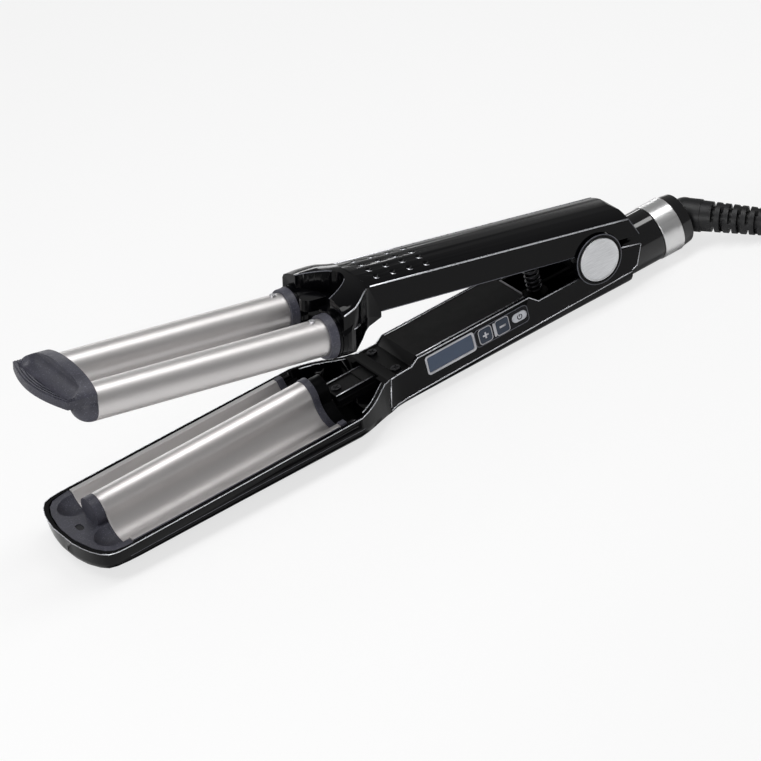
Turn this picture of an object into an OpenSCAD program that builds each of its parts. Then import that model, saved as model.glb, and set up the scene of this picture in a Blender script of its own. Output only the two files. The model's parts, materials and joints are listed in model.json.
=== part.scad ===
// Hair waver: two barrels on a sprung upper arm close onto a wave-shaped plate on the lower arm.
// Frame: +Z up, the lower arm lies on z = 0, the hinge pin is parallel to Y above the origin,
// the barrels point along -X and the cord leaves along +X. The display is on the -Y side.

/* [Hinge] */
// Height of the hinge axis above the rest face
hinge_z = 27.6; // [27:0.1:29]
// Tilt of the lower arm, nose down, in degrees
lower_tilt = 1.2; // [0.8:0.1:1.4]
// Angle between the arms at rest, in degrees
open_angle = 13.4; // [11:0.1:16]
// Radius of the steel hinge pin
pin_r = 3.0; // [2.5:0.1:3.5]
// Radial running clearance of the pin in the hinge block
pin_gap = 0.06; // [0.03:0.01:0.1]
// Radius of the round hinge boss on each side of the lower arm
boss_r = 13.8; // [13:0.1:14]
// How far the hinge boss stands out of the side wall
boss_out = 1.7; // [1:0.1:2.5]
// Radius of the aluminium hinge disc
disc_r = 11.8; // [10:0.1:12]

/* [Handle] */
// Width of both handles
handle_w = 34.6; // [34:0.1:36]
// Wall thickness of the shells
wall = 1.8; // [1.5:0.1:2.2]
// Height of the upper handle's crown above its side ridges
crown_h = 3.0; // [2:0.1:4]
// Height of the upper handle's side ridge above the hinge axis, at its front
ridge_z = 19.2; // [18:0.1:20]

/* [Barrels] */
// Radius of the two barrels
barrel_r = 9.5; // [9:0.1:9.8]
// Distance between the two barrel axes
barrel_gap = 38.5; // [38:0.1:39.5]
// Distance from the hinge axis to the front end of the barrels
barrel_reach = 294; // [290:1:298]
// Wall thickness of the barrel tubes
barrel_wall = 0.8; // [0.6:0.1:1]
// Gap left for the hair between barrel and plate when the arms are closed
hair_gap = 1.7; // [1.5:0.1:1.9]

/* [Wave plate] */
// Thickness of the plate's metal
plate_t = 1.2; // [0.8:0.1:1.4]
// Width of the plate's flat rim beyond each trough
plate_rim = 2.5; // [2.2:0.1:2.8]
// Distance from the hinge axis to the rear end of the plate
plate_rear = 171.2; // [171:0.1:173]

/* [Tray] */
// Width of the tray's rim on each side of the plate
tray_rim = 3.3; // [3:0.1:4]
// How far the tray's nose reaches in front of the plate
nose_reach = 22.3; // [22:0.1:24]

/* [Tip cap] */
// How far the thumb rest reaches in front of the barrels
flange_reach = 22; // [21:0.5:23]
// Number of grip ribs along the thumb rest's lip
rib_count = 4; // [3:1:5]

/* [Controls] */
// Width of the display window
display_w = 28; // [24:0.5:28]
// Height of the display window
display_h = 9; // [8:0.1:9.6]
// Travel of the buttons
button_travel = 0.6; // [0.4:0.1:0.8]
// Side clearance of the buttons
button_gap = 0.25; // [0.2:0.05:0.35]

/* [Cord] */
// Diameter of the cord
cord_d = 6.8; // [6.5:0.1:7]
// Radius of the black collar that carries the cord
collar_r = 14.6; // [14:0.1:14.8]
// Length of the slotted strain relief
relief_len = 45; // [42:1:48]

/* [Hidden] */
$fn = 64;
eps = 0.01;
fit = 0.1;

// ---- places along the arms, measured from the hinge axis in each arm's own frame ----
half_w = handle_w / 2;
side = barrel_gap / 2;
trough_r = barrel_r + hair_gap;
plate_hw = side + trough_r + plate_rim;
tray_hw = plate_hw + tray_rim;
crest_r = side - trough_r;
rim_z = -3.9;
lip_z = rim_z - plate_t;
plate_front = -barrel_reach;
barrel_end = plate_front - 2.8;
plate_end = -plate_rear;
band_end = plate_end + 3.7;
collar_len = 4.6;
plug_end = band_end + 7.2;
mid_x = (plate_front + plate_end) / 2;
nose_x = plate_front - nose_reach;
neck_x = plug_end + 0.3;
handle_x = neck_x + 29;
step_low = handle_x + 13;
step_high = handle_x + 17.5;
deck_rear = -45;
shell_back = 18.3;
shell_rear = 27;
arm_w = 3.8;
beam_hw = 10.2;

// Height of the rest face in the tilted frame of the lower arm
function floor_z(x) = -(hinge_z + x * sin(lower_tilt)) / cos(lower_tilt);
// A place in the lower arm's frame as a place above the floor
function to_floor(p) = [p[0] * cos(lower_tilt) - p[2] * sin(lower_tilt), p[1],
    p[0] * sin(lower_tilt) + p[2] * cos(lower_tilt) + hinge_z];

module lower_frame() translate([0, 0, hinge_z]) rotate([0, -lower_tilt, 0]) children();
module upper_frame() translate([0, 0, hinge_z]) rotate([0, open_angle - lower_tilt, 0]) children();
module both_sides() {
    children();
    mirror([0, 1, 0]) children();
}
// Cylinders along X, Y or Z from one place to another
module rod_x(r, x0, x1, y = 0, z = 0) translate([x0, y, z]) rotate([0, 90, 0]) cylinder(r = r, h = x1 - x0);
module rod_y(r, y0, y1, x = 0, z = 0) translate([x, y0, z]) rotate([-90, 0, 0]) cylinder(r = r, h = y1 - y0);
module rod_z(r, z0, z1, x = 0, y = 0) translate([x, y, z0]) cylinder(r = r, h = z1 - z0);
module box(low, high) translate(low) cube(high - low);
// An outline seen from the side as [x, z], from the end as [y, z] or from above, made solid
module side_solid(y0, y1) translate([0, y1, 0]) rotate([90, 0, 0]) linear_extrude(y1 - y0) children();
module end_solid(x0, x1) translate([x0, 0, 0]) rotate([90, 0, 90]) linear_extrude(x1 - x0) children();
module top_solid(z0, z1) translate([0, 0, z0]) linear_extrude(z1 - z0) children();
module rounded(w, h, r) {
    square([w - 2 * r, h], center = true);
    square([w, h - 2 * r], center = true);
    for (sx = [-1, 1], sy = [-1, 1]) translate([sx * (w / 2 - r), sy * (h / 2 - r)]) circle(r);
}

// ---- lofts: a closed skin through sections across X ----
function ring_faces(n, m) = [for (i = [0:m - 2], j = [0:n - 1])
    let (a = i * n + j, b = i * n + (j + 1) % n) each [[a, b, b + n], [a, b + n, a + n]]];
module loft(sections) {
    n = len(sections[0]);
    m = len(sections);
    polyhedron(concat([for (s = sections) for (p = s) p]), concat(ring_faces(n, m),
        [[for (j = [n - 1:-1:0]) j]], [[for (j = [0:n - 1]) (m - 1) * n + j]]), convexity = 6);
}
function mirror_y(half) = concat(half, [for (i = [len(half) - 1:-1:0]) [half[i][0], -half[i][1], half[i][2]]]);
function sorted(v) = len(v) < 2 ? v : let (p = v[floor(len(v) / 2)])
    concat(sorted([for (e = v) if (e < p - eps) e]), [p], sorted([for (e = v) if (e > p + eps) e]));
function between(v, low, high) =
    concat([low], [for (x = sorted(v)) if (x > low + 0.2 && x < high - 0.2) x], [high]);

// ---- outline of the lower shell ----
nose_plan = [[0, 0.09], [0.3, 0.28], [1.3, 0.47], [2.9, 0.66], [5.3, 0.83], [8.3, 0.94], [12, 0.985], [18, 1]];
neck_plan = [[0, 0.975], [5, 0.87], [10, 0.73], [15, 0.54], [20, 0.32], [24, 0.155], [29, 0.05], [35, 0.01], [42, 0]];
shell_top = [[neck_x, -4.5], [handle_x - 2, -3.4], [handle_x, -3.9], [step_low, -3.9], [step_high, -0.9],
    [deck_rear + 1, -0.9], [-39, -5.5], [-12, -5.5], [6, -1.8], [14, -2.2], [shell_rear, -4.6]];
shell_ridge = [[nose_x, -11.6], [nose_x + 16.3, -10.5], [neck_x - 8, -10.3], [neck_x + 12, -13.5],
    [neck_x + 24, -19.6], [shell_rear, -17.2]];
nose_depth = [[0, 0.15], [0.6, 0.35], [3, 0.6], [8, 0.82], [16, 0.95], [26, 1]];
shell_stations = concat([for (p = nose_plan) nose_x + p[0]], [nose_x + 26, mid_x],
    [for (p = neck_plan) neck_x + p[0]], [handle_x - 2, handle_x, step_high, deck_rear + 1, -39, -12, 6, 14]);

function shell_w(x) = x < neck_x ? tray_hw * lookup(x - nose_x, nose_plan)
    : half_w + (tray_hw - half_w) * lookup(x - neck_x, neck_plan);
function belly_z(x) = let (ridge = lookup(x, shell_ridge))
    ridge + (floor_z(x) - ridge) * lookup(x - nose_x, nose_depth);
// Half a section: rim, ridge, then an elliptical belly that is cut flat on the rest face
function shell_half(x, inset, lift) = let (
        w = shell_w(x < neck_x ? x - inset : x) - inset,
        tuck = x < neck_x ? 1.2 : x < handle_x ? 1.2 * (handle_x - x) / (handle_x - neck_x) : 0,
        ridge = lookup(x, shell_ridge),
        low = belly_z(x) + inset)
    concat([[x, w, lookup(x, shell_top) + lift]],
        [for (a = [0:16:80]) [x, (w - tuck) * cos(a), max(low, ridge - (ridge - low + 0.5) * sin(a))]]);
module shell_loft(x0, x1, inset = 0, lift = 0)
    loft([for (x = between(shell_stations, x0, x1)) mirror_y(shell_half(x, inset, lift))]);
// The shell's outline from above, drawn in by an inset
module shell_plan(x0, x1, inset) {
    v = between(shell_stations, x0, x1);
    half = [for (x = v) [x, shell_w(x < neck_x ? x - inset : x) - inset]];
    polygon(concat(half, [for (i = [len(half) - 1:-1:0]) [half[i][0], -half[i][1]]]));
}

// ---- controls on the near side wall ----
control_z = -8.3;
frame_t = 1.1;
frame_w = display_w + 2 * frame_t;
frame_h = display_h + 2 * frame_t;
panel_x = -63.1;
panel_w = 33;
display_x = panel_x - (panel_w + frame_w) / 2;
panel_h = 9.8;
// Each button as [x, width, height, corner radius]
plus_key = [panel_x - 10.1, 7.2, 8, 1.5];
minus_key = [panel_x + 0.5, 7.4, 8, 1.2];
power_key = [panel_x + 11.2, 9, 5, 2.45];
bar_key = [panel_x - 4.4, 1.2, 8, 0.5];
keys = [plus_key, minus_key, power_key];
board_z = -14;
board_t = 1.6;
board_hw = 12.5;
board_x0 = handle_x + 19;
board_x1 = deck_rear - 5;
board_posts = [board_x0 + 6, board_x1 - 6];
keypad_y = -half_w + 4;
module key_outline(key, grow = 0) translate([key[0], control_z])
    rounded(key[1] + 2 * grow, key[2] + 2 * grow, key[3] + grow);

// ---- lower arm ----
post_x = -30.5;
spring_seat = -11;
column_r = 5;
boss_in = 13.5;
disc_in = half_w + 0.2;
disc_out = half_w + boss_out + 0.5;
collar_z = floor_z(shell_back) + collar_r + 0.2;
collar_end = 42.5;
steel_end = 54.8;
ring_end = 61.5;
core_r = 6.35;
lead_r = 0.8;
lead_y = 4;
lead_z = board_z + board_t / 2;
screw_r = 2.6;
deck_screw_y = 11.5;
neck_screw_x = neck_x + 6.5;

module lower_shell() color("#101014") lower_frame() difference() {
    union() {
        difference() {
            shell_loft(nose_x, shell_rear);
            shell_loft(nose_x + wall + 0.4, neck_x + 9, wall, 1);
            shell_loft(handle_x + 4, shell_back - wall, wall, 1);
        }
        // ledge under the plate's rims
        top_solid(lip_z - 3, rim_z - 0.7) difference() {
            shell_plan(plate_front + 0.1, neck_x - 3, 0.9);
            shell_plan(plate_front, neck_x - 2, tray_rim - 0.05);
        }
        top_solid(lip_z - 3, lip_z) difference() {
            shell_plan(plate_front + 0.1, neck_x - 3, 0.9);
            shell_plan(plate_front, neck_x - 2, 5.4);
        }
        rod_z(3.5, belly_z(nose_x + 10) + 0.8, -13, nose_x + 12);
        for (x = board_posts, y = [-8, 8]) rod_z(2, floor_z(x) + 1, board_z, x, y);
        // ribs that carry the deck
        both_sides() {
            box([handle_x + 4, half_w - 4, -9], [step_low - 1, half_w - 1.5, -5.9]);
            box([handle_x + 27, half_w - 3, -3.9], [handle_x + 47, half_w - 1.5, -2.3]);
            rod_y(boss_r, boss_in, half_w + boss_out);
        }
    }
    // windows and pocket of the neck
    both_sides() top_solid(-40, 5) intersection() {
        shell_plan(neck_x + 11, neck_x + 24, arm_w);
        translate([neck_x + 10, beam_hw + 0.8]) square([20, 30]);
    }
    top_solid(-13, 5) shell_plan(neck_x + 8, neck_x + 11.1, arm_w);
    box([neck_x + 10, -beam_hw - 0.8, -9], [neck_x + 26, beam_hw + 0.8, 5]);
    box([neck_x + 8, -5.5, -16], [handle_x + 5, 5.5, -8.9]);
    // hinge pin and disc seats
    both_sides() {
        rod_y(pin_r, 10, 20);
        rod_y(disc_r + 0.6, disc_in, 25);
    }
    // display and keys
    translate([display_x, -half_w - 1, control_z]) rotate([-90, 0, 0])
        linear_extrude(4) rounded(frame_w + 2 * fit, frame_h + 2 * fit, 1.8 + fit);
    translate([panel_x, -half_w - 1, control_z]) rotate([-90, 0, 0])
        linear_extrude(1.4) rounded(panel_w + 2 * fit, panel_h + 2 * fit, 2.2 + fit);
    side_solid(-half_w - 1, -half_w + 4) for (key = keys) key_outline(key, button_gap);
    // rear end: slanted cheeks, bulkhead hole for the mains wires
    side_solid(-30, 30) polygon([[shell_rear, 5], [shell_rear, -4.6], [21.8, -15.5], [shell_back, -16.7],
        [shell_back, -40], [60, -40], [60, 5]]);
    box([shell_back, -half_w + wall, -40], [60, half_w - wall, 5]);
    rod_x(4, 10, 30, 0, collar_z);
}

module lower_deck() color("#26262a") lower_frame() difference() {
    side_solid(-half_w + wall + 0.2, half_w - wall - 0.2)
        polygon([[handle_x + 4.2, -4.1], [step_low, -4.1], [step_high, -0.5], [deck_rear, -0.5],
            [deck_rear, -6.5], [deck_rear - 2, -6.5], [deck_rear - 2, -2.3], [step_high + 0.7, -2.3],
            [step_low + 0.8, -5.9], [handle_x + 4.2, -5.9]]);
    both_sides() rod_z(1.1, -20, 5, handle_x + 7, deck_screw_y);
}

module deck_trim() color("#b9bbc0") lower_frame() difference() {
    box([deck_rear, -10, -5.5], [deck_rear + 1.5, 10, -1]);
    box([deck_rear + 0.9, -9, -4.4], [deck_rear + 3, 9, -2.1]);
}

module nose_insert() color("#4a4b58") lower_frame() difference() {
    union() {
        top_solid(-6.3, -4.8) shell_plan(nose_x + 2.6, plate_front - 0.1, 2.4);
        top_solid(-13, -6.3) shell_plan(nose_x + 4.9, plate_front - 0.1, 4.4);
        rod_x(crest_r, plate_front - 5.2, plate_front - 0.1);
    }
    both_sides() for (x = [barrel_end, plate_front]) translate([x - 0.6, side, 0]) sphere(trough_r);
    box([plate_front - 30, -40, -30], [plate_front, 40, -13]);
    translate([0, 0, -6.6]) linear_extrude(3) translate([nose_x + 10, 0]) rounded(3.4, 6.4, 1.65);
    rod_z(1.2, -14, -5, nose_x + 12);
}

// Region between two surfaces that follow the plate's wave, a above it and b below it
module wave_band(a, b, half) {
    intersection() {
        difference() {
            circle(crest_r + a);
            circle(crest_r - b);
        }
        translate([-side, 0]) square([2 * side, side]);
    }
    for (s = [-1, 1]) {
        intersection() {
            translate([s * side, 0]) difference() {
                circle(trough_r + b);
                circle(trough_r - a);
            }
            union() {
                translate([s * side / 2, -side / 2]) square([side, side], center = true);
                translate([s * 1.5 * side, rim_z - b - side / 2]) square([side, side], center = true);
            }
        }
        difference() {
            translate([s > 0 ? side : -half, rim_z - b]) square([half - side, a + b]);
            translate([s * side, 0]) circle(trough_r - a);
        }
    }
}

module wave_plate() color("#a8a29c") lower_frame()
    end_solid(plate_front, plate_end) wave_band(0, plate_t, plate_hw);

module plate_band() color("#50515e") lower_frame()
    end_solid(plate_end, band_end) wave_band(0.5, plate_t, plate_hw);

plug_hw = tray_hw - wall - 5;
module plate_plug() color("#141418") lower_frame() difference() {
    union() {
        box([band_end, -plug_hw, -15], [plug_end, plug_hw, lip_z]);
        rod_x(crest_r - 1.3, band_end, plug_end);
        box([band_end, -crest_r + 1.3, -8], [plug_end, crest_r - 1.3, 0]);
    }
    both_sides() {
        rod_x(trough_r + 1.2, band_end - 1, plug_end + 1, side);
        rod_x(lead_r + 0.3, band_end - 1, plug_end + 1, lead_y, lead_z);
        end_solid(band_end - 1, plug_end + 1) polygon([[plug_hw - 3.5, -16], [plug_hw + 2.5, -9],
            [plug_hw + 2.5, -16]]);
    }
}

panel_hw = 5.5;
module neck_beam() color("#17171b") lower_frame() difference() {
    union() {
        box([neck_x + 2, -beam_hw, -9], [neck_x + 26, beam_hw, -6]);
        box([neck_x + 2, -beam_hw + 3.2, -6], [neck_x + 26, beam_hw - 3.2, -4.5]);
    }
    box([neck_x + 3.2, -panel_hw - 0.2, -5.5], [neck_x + 19, panel_hw + 0.2, -4]);
    rod_z(1.1, -10, -4, neck_screw_x);
}

module neck_panel() color("#2b2b31") lower_frame() difference() {
    box([neck_x + 3.4, -panel_hw, -5.5], [neck_x + 18.8, panel_hw, -4.8]);
    rod_z(screw_r + 0.2, -5.2, -4, neck_screw_x);
    rod_z(1.1, -6, -4, neck_screw_x);
}

heater_x0 = plate_front + 6;
heater_x1 = plate_end - 3;
heater_hw = plate_hw - 6;
heater_low = -15.2;
module plate_heater() color("#b8b3a6") lower_frame() difference() {
    box([heater_x0, -heater_hw, heater_low], [heater_x1, heater_hw, -10]);
    both_sides() rod_x(trough_r + plate_t, heater_x0 - 1, heater_x1 + 1, side);
}

module insulation() color("#d8d0bf") lower_frame()
    box([heater_x0, -16, heater_low - 2], [heater_x1, 16, heater_low]);

module heater_brackets() color("#8f9297") lower_frame()
    for (x = [heater_x0 + 6, mid_x, heater_x1 - 6])
        box([x - 1.5, -5.5, floor_z(x - 1.5) + wall + 0.05], [x + 1.5, 5.5, heater_low - 2]);

module heat_sensor() color("#d9b45a") lower_frame() rod_x(1.6, heater_x1, heater_x1 + 2.4, 0, -12.6);

module thermal_fuse() color("#e6e4dc") lower_frame() rod_x(1.8, heater_x1, heater_x1 + 2.4, 8.5, -12.6);

module circuit_board() color("#1d5b3a") lower_frame() {
    difference() {
        box([board_x0, -board_hw, board_z], [board_x1, board_hw, board_z + board_t]);
        for (x = board_posts, y = [-8, 8]) rod_z(1, board_z - 1, board_z + 3, x, y);
    }
    box([board_x0 + 20, -4, board_z + board_t], [board_x0 + 30, 6, board_z + board_t + 3.5]);
    box([board_x1 - 24, 2, board_z + board_t], [board_x1 - 14, 10, board_z + board_t + 6]);
    rod_z(4, board_z + board_t, board_z + board_t + 7, board_x1 - 10, -5);
}

module keypad() color("#3a3a3f") lower_frame()
    box([panel_x - panel_w / 2 + 1.5, keypad_y, board_z], [panel_x + panel_w / 2 - 1.5, -board_hw, -4.4]);

module display_module() color("#2c3440") lower_frame()
    box([display_x - display_w / 2, -half_w + 2.2, board_z],
        [display_x + display_w / 2, -board_hw, control_z + display_h / 2 - 0.3]);

module display_window() color("#6b8099") lower_frame() translate([display_x, -half_w + 0.4, control_z])
    rotate([-90, 0, 0]) linear_extrude(1.8) rounded(display_w - 2 * fit, display_h - 2 * fit, 1);

module display_frame() color("#d8dade") lower_frame() translate([display_x, -half_w - 0.15, control_z])
    rotate([-90, 0, 0]) difference() {
        linear_extrude(2.35) rounded(frame_w, frame_h, 1.8);
        translate([0, 0, -1]) linear_extrude(5) rounded(display_w, display_h, 1.1);
    }

module control_panel() color("#1b1b20") lower_frame() difference() {
    translate([panel_x, -half_w - 0.1, control_z]) rotate([-90, 0, 0])
        linear_extrude(0.5) rounded(panel_w, panel_h, 2.2);
    side_solid(-half_w - 1, -half_w + 1) {
        for (key = keys) key_outline(key, button_gap);
        key_outline(bar_key);
    }
}

module minus_bar() color("#e4e5e8") lower_frame()
    side_solid(-half_w - 0.25, -half_w + 0.4) key_outline(bar_key, -0.02);

module button(key) {
    side_solid(-half_w - 0.35, -half_w + 2.1) key_outline(key);
    side_solid(-half_w + 2.1, -half_w + 3) key_outline(key, 0.7);
}
module plus_button() color("#5f7690") lower_frame() difference() {
    button(plus_key);
    for (size = [[3.6, 1], [1, 3.6]]) translate([plus_key[0], -half_w - 0.35, control_z])
        cube([size[0], 0.3, size[1]], center = true);
}
module minus_button() color("#5f7690") lower_frame() difference() {
    button(minus_key);
    translate([minus_key[0], -half_w - 0.35, control_z]) cube([4, 0.3, 1.3], center = true);
}
module power_button() color("#d5d7db") lower_frame() button(power_key);

module lower_leads() color("#222226") lower_frame() both_sides() {
    rod_x(lead_r, heater_x1, board_x0, lead_y, lead_z);
    rod_x(lead_r, board_x1, shell_back - wall, lead_y + 4, lead_z);
}

module hinge_pin() color("#c9cbd0") lower_frame() rod_y(pin_r, -disc_in, disc_in);

module hinge_discs() color("#c4c6ca") lower_frame() both_sides() difference() {
    rod_y(disc_r, disc_in, disc_out);
    rod_y(disc_r - 1, disc_out - 0.2, disc_out + 1);
    rod_y(0.8, disc_out - 1, disc_out + 1);
}

module spring_post() color("#24242a") lower_frame() {
    rod_z(column_r, floor_z(post_x - column_r) + wall + 0.35, spring_seat - 2, post_x);
    rod_z(6.5, spring_seat - 2, spring_seat, post_x);
    rod_z(2.6, spring_seat, -2.5, post_x);
}

// ---- return spring: a wire swept along a helix with flat ends ----
spring_r = 3.9;
spring_wire = 1.0;
spring_turns = 7;
spring_foot = to_floor([post_x, 0, spring_seat]);
spring_low = spring_foot[2] + spring_wire / 2 + 0.2;
spring_high = hinge_z + 7.4;
spring_steps = 8 * spring_turns;
function unit(v) = v / norm(v);
// Rings of a round tube along a path; each ring is square to the path and keeps one side up
function tube_rings(path, r, sides) = let (n = len(path)) [for (i = [0:n - 1]) let (
        t = unit(path[min(i + 1, n - 1)] - path[max(i - 1, 0)]),
        u = unit(cross([0, 0, 1], t)),
        v = cross(t, u))
    [for (k = [0:sides - 1]) path[i] + r * (cos(90 + 360 * k / sides) * u + sin(90 + 360 * k / sides) * v)]];
module return_spring() color("#d2d3d6") loft(tube_rings([for (i = [0:spring_steps]) let (a = 360 * i / 8)
    [spring_foot[0] + spring_r * cos(a), spring_r * sin(a),
        spring_low + (spring_high - spring_low) * i / spring_steps]], spring_wire / 2, 6));

// ---- rear end of the lower arm ----
module cord_collar() color("#0e0e12") lower_frame() difference() {
    rod_x(collar_r, shell_back + 0.1, collar_end, 0, collar_z);
    rod_x(3.6, shell_back - 1, collar_end, 0, collar_z);
    rod_x(9.5, collar_end - 6, collar_end + 1, 0, collar_z);
}
module steel_ring() color("#b9bbbf") lower_frame() difference() {
    rod_x(collar_r + 0.4, collar_end, steel_end, 0, collar_z);
    rod_x(core_r + 0.1, collar_end - 1, steel_end + 1, 0, collar_z);
}
module black_ring() color("#121216") lower_frame() difference() {
    translate([steel_end, 0, collar_z]) rotate([0, 90, 0])
        cylinder(r1 = collar_r, r2 = collar_r - 1, h = ring_end - steel_end);
    rod_x(core_r + 0.1, steel_end - 1, ring_end + 1, 0, collar_z);
}

// ---- screws ----
module screw_z(x, y, head_z, depth, r = screw_r) {
    difference() {
        rod_z(r, head_z, head_z + 0.9, x, y);
        for (a = [30, 120]) translate([x, y, head_z + 0.9]) rotate([0, 0, a])
            cube([2 * r - 1.4, 0.6, 0.8], center = true);
    }
    rod_z(1.1, head_z - depth, head_z, x, y);
}
module lower_screws() color("#8c8e94") lower_frame() {
    both_sides() screw_z(handle_x + 7, deck_screw_y, -4.1, 4);
    screw_z(neck_screw_x, 0, -5.2, 3.6);
    translate([nose_x + 10, 0, -6.6]) linear_extrude(1.6) rounded(3, 6, 1.45);
}

// ---- upper arm ----
seam_low = [handle_x + 0.3, 4];
seam_high = [handle_x - 6.8, 18.7];
seam_top = seam_high + (seam_high - seam_low) * 0.4;
liner_top = 6;
socket_end = neck_x + 4.5;
seal_end = neck_x + 1.5;
seal_r = 11.9;
ring_r = 11.6;
core_bore = 3.2;
upper_stations = [28, 20, 8, -20, -60, -100, handle_x - 10];
upper_posts = [handle_x + 13, -62];
block_screw = [-20, 7];
rear_ridge = 19.3;
rear_bulge = 2.2;
rear_lean = 0.683;
dimple_r = 1.9;
dimple_deep = 1.1;
dimple_x = handle_x + 1.6;
dimple_step = 9.8;
dimple_y = [10.4, 2.6, -4.4, -11.3];
function ridge_up(x) = ridge_z - (x - seam_high[0]) * 0.0115;
function crown_up(x, y) = ridge_up(x) + crown_h * (1 - pow(y / half_w, 2));
function crown_half(x, inset) = let (w = half_w - inset, top = ridge_up(x) - inset)
    concat([[x, w, inset > 0 ? 0 : seam_low[1]]],
        [for (a = [0:17:85]) [x, w * cos(a), top + crown_h * pow(sin(a), 2)]]);

module upper_shell() color("#101014") upper_frame() difference() {
    union() {
        difference() {
            intersection() {
                loft([for (x = upper_stations) mirror_y(crown_half(x, 0))]);
                side_solid(-30, 30) polygon([seam_low, seam_top, [14, 30], [16.5, 20.8], [19.5, 19.6], [22, 17.6],
                    [29, 7.3], [13, 6.7], [12, 4]]);
                // rear end, bowed across and leaning forward towards its top
                multmatrix([[1, 0, -rear_lean, rear_lean * ridge_up(rear_ridge)], [0, 1, 0, 0], [0, 0, 1, 0]])
                    top_solid(0, 30) polygon(concat([[-200, -20], [rear_ridge, -20]],
                        [for (i = [-8:8]) [rear_ridge + rear_bulge * (1 - pow(i / 8, 2)), half_w * i / 8]],
                        [[rear_ridge, 20], [-200, 20]]));
            }
            intersection() {
                loft([for (x = upper_stations) mirror_y(crown_half(x, wall))]);
                side_solid(-30, 30) polygon([[handle_x - 11, -5], [handle_x - 11, 30], [-2, 30], [8, 18.6],
                    [17.6, 15.6], [24, 7], [24, -5]]);
            }
        }
        for (x = upper_posts) rod_z(3, liner_top, ridge_up(x) + crown_h - 1, x);
    }
    both_sides() rod_y(boss_r + 0.4, boss_in - 1, half_w + 1);
    box([10, -half_w + wall, 0], [30, half_w - wall, 9.3]);
    for (x = upper_posts) rod_z(1.1, 0, 12, x);
    // grip dimples
    for (i = [0:3], y = dimple_y) let (r = (dimple_r * dimple_r + dimple_deep * dimple_deep) / (2 * dimple_deep),
            x = dimple_x + dimple_step * i)
        translate([x, y, crown_up(x, y) - dimple_deep + r]) sphere(r, $fn = 20);
}

module upper_liner() color("#1c1c20") upper_frame() difference() {
    box([seam_low[0] + 0.4, -half_w + wall + 0.2, seam_low[1]], [-14.6, half_w - wall - 0.2, liner_top]);
    for (x = upper_posts) rod_z(1.1, 0, 12, x);
    both_sides() rod_z(1.1, 0, 12, block_screw[0], block_screw[1]);
}

// ---- yoke: the visor that joins the two barrels to the handle ----
yoke_hw = side + barrel_r + 1.05;
yoke_rear = neck_x + 30;
mouth_hw = 18;
mouth_len = 17;
mouth_z = 9;
lug_hw = 4.4;
lug_top = 13.6;
lug_low = 7.4;
lug_x = neck_x - 2.6;
yoke_waist = neck_x + 23;
// Each station of the yoke as [distance behind its front, share of its widening]
yoke_plan = [[30, 0], [23, 0], [20.5, 0.072], [18, 0.23], [15, 0.456], [12, 0.664], [8, 0.856], [4, 0.952], [0, 1]];
function yoke_w(d) = half_w + (yoke_hw - half_w) * lookup(d, [for (i = [8:-1:0]) yoke_plan[i]]);
function yoke_half(x) = let (
        w = yoke_w(x - neck_x),
        low = lookup(x, [[neck_x, 4.4], [neck_x + 17, 4], [handle_x, 1]]),
        ridge = lookup(x, [[neck_x, 13.2], [neck_x + 8, 15.4], [neck_x + 15, 18.2],
            [yoke_waist, ridge_up(yoke_waist)]]),
        crown = lookup(x, [[neck_x, 20.2], [yoke_waist, ridge_up(yoke_waist) + crown_h]]))
    concat([[x, w, low]], [for (a = [0:17:85]) [x, w * cos(a), ridge + (crown - ridge) * sin(a)]]);

module yoke_body() intersection() {
    union() {
        loft([for (p = yoke_plan) mirror_y(yoke_half(neck_x + p[0]))]);
        intersection() {
            union() {
                both_sides() rod_x(seal_r, seal_end, yoke_waist - 1, side);
                box([seal_end, -side, -4], [yoke_rear, side, 8]);
            }
            top_solid(-20, 20) for (s = [-1, 1]) polygon([[seal_end, s * (side + seal_r)],
                [socket_end, s * (side + barrel_r + 1.2)],
                for (d = [8, 15, 19, 22, 30]) [neck_x + d, s * (yoke_w(d) - 0.4)],
                [yoke_rear, -s], [seal_end, -s]]);
            side_solid(-40, 40) polygon([[neck_x, -12.2], [neck_x + 18, -4], [yoke_rear, 0.9],
                [yoke_rear, 12], [neck_x, 12]]);
        }
    }
    side_solid(-40, 40) polygon([[neck_x - 10, -20], [neck_x - 10, 30], seam_top, seam_high, seam_low,
        [seam_low[0], -20]]);
}
module yoke() color("#0f0f13") upper_frame() {
    difference() {
        yoke_body();
        // open front between the barrels, pointed like the end of an ellipse, over round sockets
        difference() {
            top_solid(mouth_z, 40) polygon([for (i = [-12:12]) let (y = mouth_hw * i / 12)
                [neck_x - 2 + (mouth_len + 2) * (1 - pow(y / mouth_hw, 2)), y]]);
            both_sides() rod_x(seal_r, neck_x - 5, neck_x + 30, side);
        }
        box([neck_x - 3, -8.9, -20], [neck_x + 12, 8.9, lug_low]);
        box([neck_x - 1, -11.2, -20], [yoke_rear + 1, 11.2, -3.4]);
        box([neck_x + 14, -10, 2.5], [yoke_rear + 1, 10, 9.2]);
        box([yoke_waist - 1, -13, 2.5], [yoke_rear + 1, 13, 14]);
        both_sides() {
            rod_x(barrel_r, neck_x - 1, socket_end, side);
            rod_x(seal_r, neck_x - 1, seal_end, side);
        }
    }
    // lug with a round front in the middle
    top_solid(lug_low, lug_top) {
        translate([lug_x, 0]) circle(lug_hw);
        translate([lug_x, -lug_hw]) square([8, 2 * lug_hw]);
    }
}

barrel_screw_x = plate_end - 0.8;
module barrel() difference() {
    rod_x(barrel_r, barrel_end, socket_end, side);
    rod_x(barrel_r - barrel_wall, barrel_end - 1, socket_end + 1, side);
    rod_z(0.9, 0, 12, barrel_screw_x, side);
}
module near_barrel() color("#aaa49e") upper_frame() mirror([0, 1, 0]) barrel();
module far_barrel() color("#aaa49e") upper_frame() barrel();

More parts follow.
